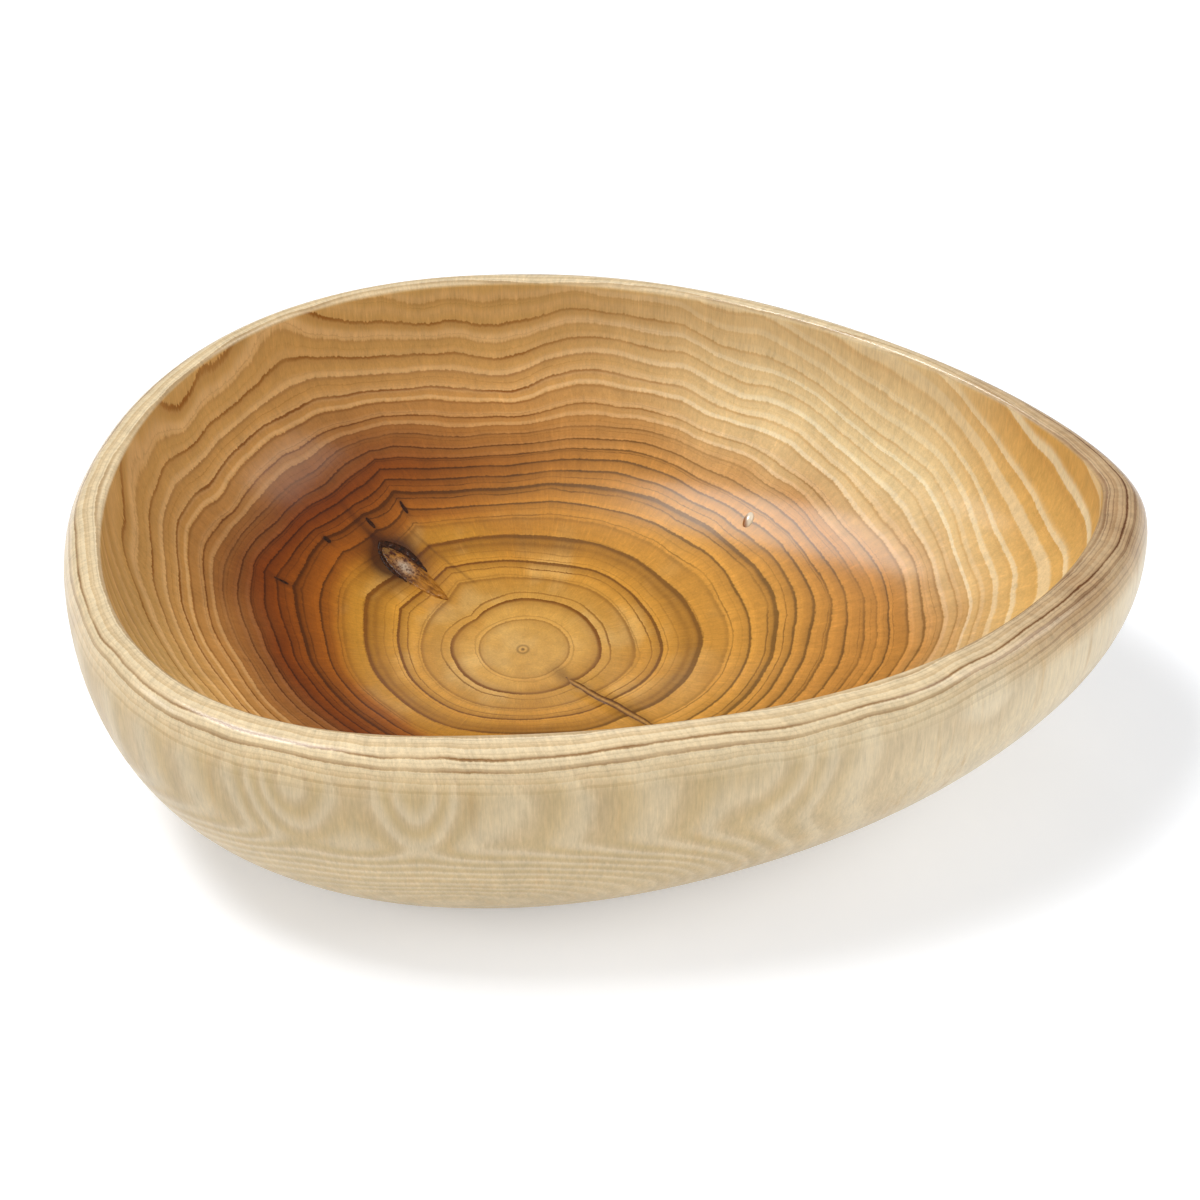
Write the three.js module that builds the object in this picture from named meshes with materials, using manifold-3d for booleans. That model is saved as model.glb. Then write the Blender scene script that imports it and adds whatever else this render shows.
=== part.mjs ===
// Fruit bowl carved by hand from one cross-cut slice of a softwood trunk.
// Millimetres, +Z up. The origin lies on the table, under the middle of the outline.
// +X points to the narrow tip, -X to the broad heel and +Y to the back.
import * as THREE from 'three';
import { mergeVertices } from 'three/addons/utils/BufferGeometryUtils.js';
import Module from 'manifold-3d';

// Outline, seen from above
const BOWL_LENGTH = 280;
const BOWL_WIDTH = 201;

// Width of the rim, from its outer to its inner edge
const RIM_AT_TIP = 13;
const RIM_AT_BACK = 8;
const RIM_AT_HEEL = 11;
const RIM_AT_FRONT = 11.5;

// Where the two edges of the rim reach furthest to +X, +Y, -X and -Y
const OUTER_TURNS = { tipY: -1, backX: -20, heelY: -4, frontX: -43 };
const INNER_TURNS = { tipY: 1, backX: -25, heelY: -5, frontX: -41 };

// Fullness of each edge: the share of its span that each curve handle takes, leaving and arriving
const OUTER_FULLNESS = {
  tipToBack: [0.3, 0.47],
  backToHeel: [0.85, 0.27],
  heelToFront: [0.155, 0.955],
  frontToTip: [0.78, 0.245],
};
const INNER_FULLNESS = {
  tipToBack: [0.28, 0.54],
  backToHeel: [0.8, 0.385],
  heelToFront: [0.35, 0.88],
  frontToTip: [0.86, 0.16],
};

// Section
const BOWL_HEIGHT = 76;
const SHOULDER_DROP = 17.5; // from the top of the rim down to the widest line
const RIM_SQUARENESS = 3; // 2 would be an elliptical roll
const EDGE_RADIUS = 1.6; // worn inner edge of the rim
const FOOT_X = -27;
const FOOT_Y = -6;
const FOOT_RADIUS = 58.5; // flat that the bowl stands on
const FLOOR_THICKNESS = 12;
const HOLLOW_SQUARENESS = 2.5; // 2 would be an elliptical hollow

// The tree's growth: every knot and the drying check run out from the pith
const PITH_X = -23.5;
const PITH_Y = 8;

// Dead branch stub in the floor, with its bark
const KNOT_AZIMUTH = 139;
const KNOT_START = 28; // distances from the pith
const KNOT_END = 54;
const KNOT_DIAMETER = 7;
const KNOT_BELLY = 0.66; // share of its length where the stub is thickest
const KNOT_ROUNDNESS = 0.7; // 1 would taper both ends to a sharp point
const KNOT_SINK = 1; // axis below the carved surface
const BARK_START = 40;
const BARK_THICKNESS = 1.3;

// Drying check in the floor, closed with filler
const CHECK_AZIMUTH = -41.5;
const CHECK_START = 14;
const CHECK_END = 56;
const CHECK_WIDTH = 2.4;
const CHECK_DEPTH = 5;

// Small dead twigs that end in the carved wall
const PIN_LENGTH = 9;
const PIN_LEAD = 7; // length of twig that the carver cut away
const PIN_KNOTS = [
  { azimuth: 166.5, distance: 69, diameter: 1.6, rise: 11 },
  { azimuth: 149, distance: 65, diameter: 1.9, rise: -14 },
  { azimuth: 136.7, distance: 60.5, diameter: 1.5, rise: 6 },
  { azimuth: 126.2, distance: 59, diameter: 1.6, rise: 9 },
];

// Drop of lacquer that set on the wall
const BEAD_AZIMUTH = 31.9;
const BEAD_DISTANCE = 74.4;
const BEAD_WIDTH = 2.8;
const BEAD_LENGTH = 4.4;
const BEAD_HEIGHT = 2;

// Clearance between an inlaid piece and its seat
const SEAT_GAP = 0.3;

// Facets
const STEPS_PER_QUARTER = 20;
const WALL_STEPS = 9;
const RIM_STEPS = 7;
const EDGE_STEPS = 3;
const HOLLOW_STEPS = 14;
const INLAY_SIDES = 16;
const NO_RADIUS = 1e-6;

const wasm = await Module();
wasm.setup();

function solidOf(geometry) {
  const bare = geometry.clone();
  bare.deleteAttribute('normal');
  bare.deleteAttribute('uv');
  const merged = mergeVertices(bare);
  return new wasm.Manifold(new wasm.Mesh({
    numProp: 3,
    vertProperties: new Float32Array(merged.attributes.position.array),
    triVerts: new Uint32Array(merged.index.array),
  }));
}

function geometryOf(solid) {
  const { vertProperties, triVerts } = solid.getMesh();
  const geometry = new THREE.BufferGeometry();
  geometry.setAttribute('position', new THREE.BufferAttribute(vertProperties, 3));
  geometry.setIndex(new THREE.BufferAttribute(triVerts, 1));
  geometry.computeVertexNormals();
  return geometry;
}

// One edge of the rim: four curves that run square to the axes at tip, back, heel and front
function edgeLoop(reach, turns, fullness) {
  const tip = new THREE.Vector2(reach.tip, turns.tipY);
  const back = new THREE.Vector2(turns.backX, reach.back);
  const heel = new THREE.Vector2(-reach.heel, turns.heelY);
  const front = new THREE.Vector2(turns.frontX, -reach.front);
  const { lerp } = THREE.MathUtils;
  const fromEnd = (end, side, share) => new THREE.Vector2(end.x, lerp(end.y, side.y, share));
  const fromSide = (side, end, share) => new THREE.Vector2(lerp(side.x, end.x, share), side.y);
  const { tipToBack, backToHeel, heelToFront, frontToTip } = fullness;
  const quarters = [
    [tip, fromEnd(tip, back, tipToBack[0]), fromSide(back, tip, tipToBack[1]), back],
    [back, fromSide(back, heel, backToHeel[0]), fromEnd(heel, back, backToHeel[1]), heel],
    [heel, fromEnd(heel, front, heelToFront[0]), fromSide(front, heel, heelToFront[1]), front],
    [front, fromSide(front, tip, frontToTip[0]), fromEnd(tip, front, frontToTip[1]), tip],
  ];
  return quarters.flatMap((handles) => {
    const points = new THREE.CubicBezierCurve(...handles).getPoints(STEPS_PER_QUARTER);
    return points.slice(0, -1);
  });
}

const outerReach = {
  tip: BOWL_LENGTH / 2,
  back: BOWL_WIDTH / 2,
  heel: BOWL_LENGTH / 2,
  front: BOWL_WIDTH / 2,
};
const innerReach = {
  tip: outerReach.tip - RIM_AT_TIP,
  back: outerReach.back - RIM_AT_BACK,
  heel: outerReach.heel - RIM_AT_HEEL,
  front: outerReach.front - RIM_AT_FRONT,
};
const innerEdge = edgeLoop(innerReach, INNER_TURNS, INNER_FULLNESS);
const outerEdge = edgeLoop(outerReach, OUTER_TURNS, OUTER_FULLNESS);
const stations = outerEdge.map((outer, i) => ({ outer, inner: innerEdge[i] }));

const footCentre = new THREE.Vector2(FOOT_X, FOOT_Y);
const shoulderHeight = BOWL_HEIGHT - SHOULDER_DROP;
const hollowTop = BOWL_HEIGHT - EDGE_RADIUS;
const hollowDepth = hollowTop - FLOOR_THICKNESS;

function footPoint(station) {
  const outward = station.outer.clone().sub(footCentre).normalize();
  return footCentre.clone().addScaledVector(outward, FOOT_RADIUS);
}

function ring(pointAt, height) {
  return stations.map((station) => {
    const point = pointAt(station);
    return new THREE.Vector3(point.x, point.y, height);
  });
}

// Quarter turn in a number of steps, without its start
function quarterTurn(steps) {
  return Array.from({ length: steps }, (_, i) => ((i + 1) / steps) * (Math.PI / 2));
}

// Squared-off cosine and sine of a superellipse
function squareCos(angle, squareness) {
  return Math.abs(Math.cos(angle)) ** (2 / squareness);
}

function squareSin(angle, squareness) {
  return Math.sin(angle) ** (2 / squareness);
}

function bowlRings() {
  const rings = [ring(footPoint, 0)];
  for (const angle of quarterTurn(WALL_STEPS)) {
    const reach = Math.sin(angle);
    const height = shoulderHeight * (1 - Math.cos(angle));
    rings.push(ring((s) => footPoint(s).lerp(s.outer, reach), height));
  }
  const edgeCrest = (s) => {
    const outward = s.outer.clone().sub(s.inner).normalize();
    return s.inner.clone().addScaledVector(outward, EDGE_RADIUS);
  };
  for (const angle of quarterTurn(RIM_STEPS)) {
    const reach = squareCos(angle, RIM_SQUARENESS);
    const height = shoulderHeight + SHOULDER_DROP * squareSin(angle, RIM_SQUARENESS);
    rings.push(ring((s) => edgeCrest(s).lerp(s.outer, reach), height));
  }
  for (const angle of quarterTurn(EDGE_STEPS)) {
    const height = hollowTop + EDGE_RADIUS * Math.cos(angle);
    rings.push(ring((s) => edgeCrest(s).lerp(s.inner, Math.sin(angle)), height));
  }
  for (const angle of quarterTurn(HOLLOW_STEPS).slice(0, -1)) {
    const reach = squareCos(angle, HOLLOW_SQUARENESS);
    const height = hollowTop - hollowDepth * squareSin(angle, HOLLOW_SQUARENESS);
    rings.push(ring((s) => footCentre.clone().lerp(s.inner, reach), height));
  }
  return rings;
}

// Skin over the rings, closed by a fan at the foot and a fan at the floor
function loft(rings, startCentre, endCentre) {
  const count = stations.length;
  const positions = rings.flat().flatMap((p) => p.toArray());
  const start = rings.length * count;
  const end = start + 1;
  positions.push(...startCentre.toArray(), ...endCentre.toArray());
  const lastRow = (rings.length - 1) * count;
  const index = [];
  for (let j = 0; j < count; j += 1) {
    const k = (j + 1) % count;
    index.push(start, k, j);
    for (let i = 0; i < rings.length - 1; i += 1) {
      const low = i * count;
      const high = low + count;
      index.push(low + j, low + k, high + k);
      index.push(low + j, high + k, high + j);
    }
    index.push(end, lastRow + j, lastRow + k);
  }
  const geometry = new THREE.BufferGeometry();
  geometry.setAttribute('position', new THREE.Float32BufferAttribute(positions, 3));
  geometry.setIndex(index);
  return geometry;
}

// How far a plan point lies from the hollow's centre, as a share of the way to the rim's inner edge
function hollowShare(point) {
  const d = point.clone().sub(footCentre);
  for (let j = 0; j < stations.length; j += 1) {
    const a = stations[j].inner.clone().sub(footCentre);
    const b = stations[(j + 1) % stations.length].inner.clone().sub(footCentre);
    if (a.cross(d) >= 0 && d.cross(b) > 0) {
      return d.cross(b.clone().sub(a)) / a.cross(b);
    }
  }
  return 0;
}

function hollowHeight(point) {
  const share = Math.min(hollowShare(point), 1);
  return hollowTop - hollowDepth * (1 - share ** HOLLOW_SQUARENESS) ** (1 / HOLLOW_SQUARENESS);
}

// Direction in plan at an azimuth, and the carved surface at a distance from the pith along it
function radial(azimuth) {
  const angle = THREE.MathUtils.degToRad(azimuth);
  return new THREE.Vector3(Math.cos(angle), Math.sin(angle), 0);
}

function carvedPoint(azimuth, distance) {
  const plan = new THREE.Vector2(PITH_X, PITH_Y);
  const direction = radial(azimuth);
  plan.x += direction.x * distance;
  plan.y += direction.y * distance;
  return new THREE.Vector3(plan.x, plan.y, hollowHeight(plan));
}

// Turns a shape made along +Y to lie along a direction, with its origin at a point
function aim(geometry, direction, origin) {
  const turn = new THREE.Quaternion().setFromUnitVectors(new THREE.Vector3(0, 1, 0), direction);
  return geometry.applyQuaternion(turn).translate(origin.x, origin.y, origin.z);
}

// The stub is a spindle: thin towards the pith, thickest past its middle, round at its outer end
const knotFrom = carvedPoint(KNOT_AZIMUTH, KNOT_START).setZ(
  carvedPoint(KNOT_AZIMUTH, KNOT_START).z - KNOT_SINK,
);
const knotTo = carvedPoint(KNOT_AZIMUTH, KNOT_END).setZ(
  carvedPoint(KNOT_AZIMUTH, KNOT_END).z - KNOT_SINK,
);

function stubRadius(share) {
  const bellyPower = Math.log(0.5) / Math.log(KNOT_BELLY);
  const swell = Math.max(Math.sin(Math.PI * share ** bellyPower), 0);
  return (KNOT_DIAMETER / 2) * swell ** KNOT_ROUNDNESS;
}

// The spindle from a share of its length to its outer end, grown all round, with a lead before its start
function knotSpindle(start, grow, lead) {
  const axis = knotTo.clone().sub(knotFrom);
  const length = axis.length();
  const skin = [];
  for (let i = 0; i <= INLAY_SIDES; i += 1) {
    const share = THREE.MathUtils.lerp(start, 1, i / INLAY_SIDES);
    skin.push(new THREE.Vector2(stubRadius(share) + grow, share * length));
  }
  skin[0].y -= lead;
  const profile = [
    new THREE.Vector2(0, skin[0].y),
    ...skin.filter((point) => point.x > NO_RADIUS),
    new THREE.Vector2(0, length + grow),
  ];
  return solidOf(aim(new THREE.LatheGeometry(profile, INLAY_SIDES), axis.normalize(), knotFrom));
}

// The check is a long leaf in plan, cut straight down into the floor
function checkBlade(grow) {
  const start = CHECK_START - grow;
  const end = CHECK_END + grow;
  const middle = (start + end) / 2;
  const bulge = CHECK_WIDTH + 2 * grow;
  const leaf = new THREE.Shape();
  leaf.moveTo(start, 0);
  leaf.quadraticCurveTo(middle, -bulge, end, 0);
  leaf.quadraticCurveTo(middle, bulge, start, 0);
  const bottom = FLOOR_THICKNESS - CHECK_DEPTH - grow;
  const blade = new THREE.ExtrudeGeometry(leaf, {
    depth: BOWL_HEIGHT - bottom,
    bevelEnabled: false,
    curveSegments: INLAY_SIDES,
  });
  blade.rotateZ(THREE.MathUtils.degToRad(CHECK_AZIMUTH));
  return solidOf(blade.translate(PITH_X, PITH_Y, bottom));
}

// A twig crosses the carved surface at its distance from the pith and goes on into the wall
function twig(pin, grow) {
  const rise = THREE.MathUtils.degToRad(pin.rise);
  const axis = radial(pin.azimuth).multiplyScalar(Math.cos(rise)).setZ(Math.sin(rise));
  const length = PIN_LEAD + PIN_LENGTH + 2 * grow;
  const radius = pin.diameter / 2 + grow;
  const peg = new THREE.CylinderGeometry(radius, radius, length, INLAY_SIDES / 2);
  const middle = (PIN_LENGTH - PIN_LEAD) / 2;
  const origin = carvedPoint(pin.azimuth, pin.distance).addScaledVector(axis, middle);
  return solidOf(aim(peg, axis, origin));
}

// The bead is an oval drop that lies along the slope of the wall, half of it in a dimple
function beadDrop(grow) {
  const seat = carvedPoint(BEAD_AZIMUTH, BEAD_DISTANCE);
  const half = BEAD_LENGTH / 2;
  const upper = carvedPoint(BEAD_AZIMUTH, BEAD_DISTANCE + half);
  const lower = carvedPoint(BEAD_AZIMUTH, BEAD_DISTANCE - half);
  const slope = upper.sub(lower).normalize();
  const drop = new THREE.SphereGeometry(1, INLAY_SIDES, INLAY_SIDES / 2);
  drop.scale(BEAD_WIDTH / 2 + grow, half + grow, BEAD_HEIGHT / 2 + grow);
  return solidOf(aim(drop, slope, seat));
}

const knotStartOfBark = (BARK_START - KNOT_START) / (KNOT_END - KNOT_START);
const barkReach = SEAT_GAP + BARK_THICKNESS;
const blank = solidOf(loft(
  bowlRings(),
  new THREE.Vector3(FOOT_X, FOOT_Y, 0),
  new THREE.Vector3(FOOT_X, FOOT_Y, FLOOR_THICKNESS),
));

const knotSolid = knotSpindle(0, 0, 0).intersect(blank);
const barkSolid = knotSpindle(knotStartOfBark, barkReach, 0)
  .subtract(knotSpindle(0, SEAT_GAP, SEAT_GAP))
  .intersect(blank);
const fillSolid = checkBlade(0).intersect(blank);
const pinSolids = PIN_KNOTS.map((pin) => twig(pin, 0).intersect(blank));
const beadSolid = beadDrop(0);

const seats = [
  knotSpindle(0, SEAT_GAP, SEAT_GAP),
  knotSpindle(knotStartOfBark, barkReach + SEAT_GAP, SEAT_GAP),
  checkBlade(SEAT_GAP),
  ...PIN_KNOTS.map((pin) => twig(pin, SEAT_GAP)),
  beadDrop(SEAT_GAP),
];
const bodySolid = seats.reduce((body, seat) => body.subtract(seat), blank);

const lacqueredWood = new THREE.MeshStandardMaterial({ color: 0xd9b077, roughness: 0.3, metalness: 0 });
const deadWood = new THREE.MeshStandardMaterial({ color: 0x9a7b52, roughness: 0.6, metalness: 0 });
const bark = new THREE.MeshStandardMaterial({ color: 0x2b1a10, roughness: 0.8, metalness: 0 });
const filler = new THREE.MeshStandardMaterial({ color: 0x7a4a22, roughness: 0.5, metalness: 0 });
const lacquer = new THREE.MeshStandardMaterial({ color: 0xd6ab5c, roughness: 0.1, metalness: 0 });

const bowl = new THREE.Group();

function addPiece(name, solid, material) {
  const mesh = new THREE.Mesh(geometryOf(solid), material);
  mesh.name = name;
  bowl.add(mesh);
}

addPiece('bowl_body', bodySolid, lacqueredWood);
addPiece('dead_knot', knotSolid, deadWood);
addPiece('knot_bark', barkSolid, bark);
addPiece('crack_fill', fillSolid, filler);
pinSolids.forEach((solid, i) => addPiece(`pin_knot_${i + 1}`, solid, bark));
addPiece('lacquer_bead', beadSolid, lacquer);

export default bowl;
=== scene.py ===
"""A fruit bowl carved from one slice of a trunk, with its knots, its filled check and its lacquered wood."""
import math

import bpy
import numpy as np
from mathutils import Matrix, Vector, noise


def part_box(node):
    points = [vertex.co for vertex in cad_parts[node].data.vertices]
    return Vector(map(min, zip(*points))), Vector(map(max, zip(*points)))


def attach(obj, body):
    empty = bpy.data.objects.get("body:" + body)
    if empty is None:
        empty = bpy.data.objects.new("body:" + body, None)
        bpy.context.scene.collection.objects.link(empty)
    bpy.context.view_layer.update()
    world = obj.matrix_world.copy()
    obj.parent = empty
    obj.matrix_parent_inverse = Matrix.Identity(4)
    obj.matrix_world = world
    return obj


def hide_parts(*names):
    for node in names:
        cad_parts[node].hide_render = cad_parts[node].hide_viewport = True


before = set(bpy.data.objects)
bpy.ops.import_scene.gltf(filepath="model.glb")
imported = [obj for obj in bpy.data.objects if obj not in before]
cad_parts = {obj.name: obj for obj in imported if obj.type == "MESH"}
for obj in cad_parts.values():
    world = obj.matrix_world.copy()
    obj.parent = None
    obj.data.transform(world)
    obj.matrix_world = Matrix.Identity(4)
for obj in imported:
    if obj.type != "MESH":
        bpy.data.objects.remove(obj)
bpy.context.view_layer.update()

MM = 0.001

# The carved form, as the CAD part has it
bowl_low, bowl_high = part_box("bowl_body")
HALF_LENGTH = (bowl_high.x - bowl_low.x) / 2
HALF_WIDTH = (bowl_high.y - bowl_low.y) / 2
BOWL_HEIGHT = bowl_high.z - bowl_low.z
RIM_AT_TIP = 13 * MM
RIM_AT_BACK = 8 * MM
RIM_AT_HEEL = 11 * MM
RIM_AT_FRONT = 11.5 * MM
OUTER_TURNS = {"tip_y": -1 * MM, "back_x": -20 * MM, "heel_y": -4 * MM, "front_x": -43 * MM}
INNER_TURNS = {"tip_y": 1 * MM, "back_x": -25 * MM, "heel_y": -5 * MM, "front_x": -41 * MM}
OUTER_FULLNESS = ((0.3, 0.47), (0.85, 0.27), (0.155, 0.955), (0.78, 0.245))
INNER_FULLNESS = ((0.28, 0.54), (0.8, 0.385), (0.35, 0.88), (0.86, 0.16))
SHOULDER_DROP = 17.5 * MM
SHOULDER_HEIGHT = BOWL_HEIGHT - SHOULDER_DROP
RIM_SQUARENESS = 3
EDGE_RADIUS = 1.6 * MM
EDGE_HEIGHT = BOWL_HEIGHT - EDGE_RADIUS
FOOT_CENTRE = np.array((-27 * MM, -6 * MM))
FOOT_RADIUS = 58.5 * MM
FLOOR_THICKNESS = 12 * MM
HOLLOW_SQUARENESS = 2.5
HOLLOW_DEPTH = EDGE_HEIGHT - FLOOR_THICKNESS

# The tree's marks, set out from the pith by direction in degrees and distance
PITH = np.array((-23.5 * MM, 8 * MM))
KNOT_AZIMUTH = 139
KNOT_START = 28 * MM
KNOT_END = 54 * MM
KNOT_WIDTH = 7 * MM
KNOT_BELLY = 0.66
BARK_START = 38 * MM
BARK_THICKNESS = 1.3 * MM
CRACK_AZIMUTH = -41.5
CRACK_START = 14 * MM
CRACK_END = 56 * MM
CRACK_WIDTH = 2.4 * MM
PIN_KNOTS = (
    {"azimuth": 166.5, "distance": 69 * MM, "length": 4.6 * MM, "width": 1.6 * MM},
    {"azimuth": 149, "distance": 65 * MM, "length": 2.6 * MM, "width": 1.9 * MM},
    {"azimuth": 136.7, "distance": 60.5 * MM, "length": 4 * MM, "width": 1.5 * MM},
    {"azimuth": 126.2, "distance": 59 * MM, "length": 4.4 * MM, "width": 1.6 * MM},
)
BEAD_AZIMUTH = 31.9
BEAD_DISTANCE = 74.4 * MM
BEAD_WIDTH = 2.8 * MM
BEAD_LENGTH = 4.4 * MM
BEAD_PROUD = 1.2 * MM
BEAD_ACROSS = np.array((0.87, -0.5))
BEAD_DOWN = np.array((0.5, 0.87))
BEAD_LIFTS = (-0.5, 0.98)

# How finely the carved surface is made
STATIONS_PER_QUARTER = 96
FOOT_ROWS = 6
FIRST_FOOT_ROW = 0.05
WALL_ROWS = 32
RIM_ROWS = 22
EDGE_ROWS = 6
HOLLOW_ROWS = 64
BEAD_ROWS = 14
BEAD_SIDES = 28

# How far the knife and the sander left the surface from a true curve
TOOL_WAVE = 0.3 * MM
TOOL_WAVE_LENGTH = 42 * MM
TOOL_WAVE_SEED = 3.1
TOOL_WAVE_HEIGHTS = (4 * MM, 20 * MM)
CRACK_DIP = 0.5 * MM
CRACK_DIP_WIDTH = 0.75 * CRACK_WIDTH
CRACK_DIP_BEGINS = (CRACK_START - 4 * MM, CRACK_START + 3 * MM)
CRACK_DIP_ENDS = (CRACK_END - 6 * MM, CRACK_END)
KNOT_DIP = 0.8 * MM
KNOT_DIP_WIDTH = 0.8 * KNOT_WIDTH
KNOT_DIP_BEGINS = (KNOT_START - 3 * MM, KNOT_START + 6 * MM)
KNOT_DIP_ENDS = (KNOT_END, KNOT_END + 5 * MM)
SAME_SURFACE = 0.1 * MM

# How the small pieces sit in the carved surface
INLAY_STEPS = 56
INLAY_SIDES = 20
INLAY_END_ANGLE = 0.08
INLAY_DEPTH = 1.2 * MM
BORDER_SINK = 0.12 * MM
FLAKE_SIZE = 1.3 * MM
KNOT_SURFACE = {"proud": 0.6 * MM, "roughness": 0.35 * MM, "seed": 5.9}
CRACK_SURFACE = {"proud": 0.3 * MM, "roughness": 0.08 * MM, "seed": 2.2}
PIN_SURFACE = {"proud": 0.2 * MM, "roughness": 0.05 * MM}
PIN_SEED = 1.3
BARK_SURFACE = {"proud": 0.5 * MM, "roughness": 0.3 * MM, "seed": 8.3}
BARK_STEPS = 90
BARK_CLOSENESS = 1.6
BARK_TAPER = 4
BARK_THICK_SIDE = 1.25
BARK_THIN_SIDE = 0.8
BARK_THINNEST = 0.02
BARK_HALF_WIDTH = 0.8 * BARK_THICKNESS
BARK_SHIFT = 0.3

# How deep the texture of each surface is
GRAIN_RELIEF = 0.06 * MM
DEAD_WOOD_RELIEF = 0.3 * MM
BARK_RELIEF = 0.25 * MM
FILLER_RELIEF = 0.15 * MM


def between(start, end, share):
    """The point that lies at a share of the way from start to end."""
    return start + (end - start) * share


def bezier(points, steps):
    """Points along a cubic curve, without its last one."""
    t = np.linspace(0, 1, steps, endpoint=False)[:, None]
    a, b, c, d = points
    return (1 - t) ** 3 * a + 3 * (1 - t) ** 2 * t * b + 3 * (1 - t) * t**2 * c + t**3 * d


def edge_loop(rims, turns, fullness, steps):
    """One outline of the bowl seen from above: four curves through its tip, back, heel and front."""
    tip = np.array((HALF_LENGTH - rims["tip"], turns["tip_y"]))
    back = np.array((turns["back_x"], HALF_WIDTH - rims["back"]))
    heel = np.array((rims["heel"] - HALF_LENGTH, turns["heel_y"]))
    front = np.array((turns["front_x"], rims["front"] - HALF_WIDTH))
    quarters = []
    for number, (start, end) in enumerate(((tip, back), (back, heel), (heel, front), (front, tip))):
        leave, arrive = fullness[number]
        if number % 2 == 0:
            first = np.array((start[0], between(start[1], end[1], leave)))
            second = np.array((between(end[0], start[0], arrive), end[1]))
        else:
            first = np.array((between(start[0], end[0], leave), start[1]))
            second = np.array((end[0], between(end[1], start[1], arrive)))
        quarters.append(bezier((start, first, second, end), steps))
    return np.concatenate(quarters)


NO_RIM = {"tip": 0, "back": 0, "heel": 0, "front": 0}
RIM = {"tip": RIM_AT_TIP, "back": RIM_AT_BACK, "heel": RIM_AT_HEEL, "front": RIM_AT_FRONT}
OUTER_EDGE = edge_loop(NO_RIM, OUTER_TURNS, OUTER_FULLNESS, STATIONS_PER_QUARTER)
INNER_EDGE = edge_loop(RIM, INNER_TURNS, INNER_FULLNESS, STATIONS_PER_QUARTER)


def unit(vectors):
    """The same directions with a length of one."""
    return vectors / np.linalg.norm(vectors, axis=-1, keepdims=True)


def hollow_share(points):
    """How far plan points lie from the middle of the floor to the hollow's edge, as a share."""
    away = points - FOOT_CENTRE
    edge = INNER_EDGE - FOOT_CENTRE
    turn = np.unwrap(np.arctan2(edge[:, 1], edge[:, 0]))
    here = np.arctan2(away[:, 1], away[:, 0])
    order = np.argsort(turn)
    reach = np.interp(here, turn[order], np.linalg.norm(edge, axis=1)[order], period=2 * math.pi)
    return np.linalg.norm(away, axis=1) / reach


def hollow_height(points):
    """Height of the hollow's carved surface under plan points."""
    share = np.clip(hollow_share(points), 0, 1)
    fall = (1 - share**HOLLOW_SQUARENESS) ** (1 / HOLLOW_SQUARENESS)
    return EDGE_HEIGHT - HOLLOW_DEPTH * fall


def line_axes(azimuth):
    """Plan directions along a line from the pith, and square to its left."""
    angle = math.radians(azimuth)
    return np.array((math.cos(angle), math.sin(angle))), np.array((-math.sin(angle), math.cos(angle)))


def from_pith(azimuth, distance):
    """The plan point that lies in a direction and at a distance from the pith."""
    return PITH + distance * line_axes(azimuth)[0]


def along_and_across(points, azimuth):
    """Distances of plan points from the pith along a direction, and sideways from that line."""
    forward, sideways = line_axes(azimuth)
    return (points - PITH) @ forward, (points - PITH) @ sideways


def smooth(low, high, value):
    """Rises gently from 0 at low to 1 at high."""
    share = np.clip((value - low) / (high - low), 0, 1)
    return share * share * (3 - 2 * share)


def knot_half_width(distance):
    """Half the dead knot's width at distances from the pith: a spindle, fullest past its middle."""
    share = np.clip((distance - KNOT_START) / (KNOT_END - KNOT_START), 0, 1)
    rise = np.where(share < KNOT_BELLY, share / KNOT_BELLY, (1 - share) / (1 - KNOT_BELLY))
    return KNOT_WIDTH / 2 * np.sin(rise * math.pi / 2) ** 0.7


def crack_half_width(distance):
    """Half the filled check's width at distances from the pith: it opens quickly and closes slowly."""
    share = np.clip((distance - CRACK_START) / (CRACK_END - CRACK_START), 0, 1)
    return CRACK_WIDTH / 2 * np.sqrt(np.sin(share**0.7 * math.pi)).clip(0)


def pin_half_width(distance, pin):
    """Half a pin knot's width at distances from the pith: an oval."""
    share = (distance - pin["distance"]) / (pin["length"] / 2)
    return pin["width"] / 2 * np.sqrt((1 - share**2).clip(0))


def surface_noise(points, wave_length, seed):
    """A smooth value from -1 to 1 at each point, the same on every run."""
    shift = Vector((seed, seed * 0.37, seed * 1.71))
    return np.array([noise.noise(Vector(p) / wave_length + shift) for p in points])


def new_piece(name, points, faces, material, nodes):
    """A closed mesh piece that rides on the bowl and stands for CAD nodes."""
    mesh = bpy.data.meshes.new(name)
    mesh.from_pydata([tuple(p) for p in points], [], faces)
    mesh.update()
    mesh.shade_smooth()
    mesh.materials.append(material)
    piece = bpy.data.objects.new(name, mesh)
    bpy.context.scene.collection.objects.link(piece)
    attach(piece, "root")
    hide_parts(*nodes)
    return piece


def skin_rows(rows):
    """Points and faces of a closed skin over rows of stations, with a single point at each end."""
    points = [rows[0].mean(axis=0)]
    for row in rows:
        points.extend(row)
    points.append(rows[-1].mean(axis=0))
    count = len(rows[0])
    last = len(points) - 1
    faces = []
    for station in range(count):
        following = (station + 1) % count
        faces.append((0, 1 + following, 1 + station))
        for row in range(len(rows) - 1):
            low = 1 + row * count
            high = low + count
            faces.append((low + station, low + following, high + following, high + station))
        top = 1 + (len(rows) - 1) * count
        faces.append((top + station, top + following, last))
    return np.array(points), faces


def level(plan, height):
    """Plan points raised to one height each."""
    return np.column_stack((plan, np.broadcast_to(height, len(plan))))


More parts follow.
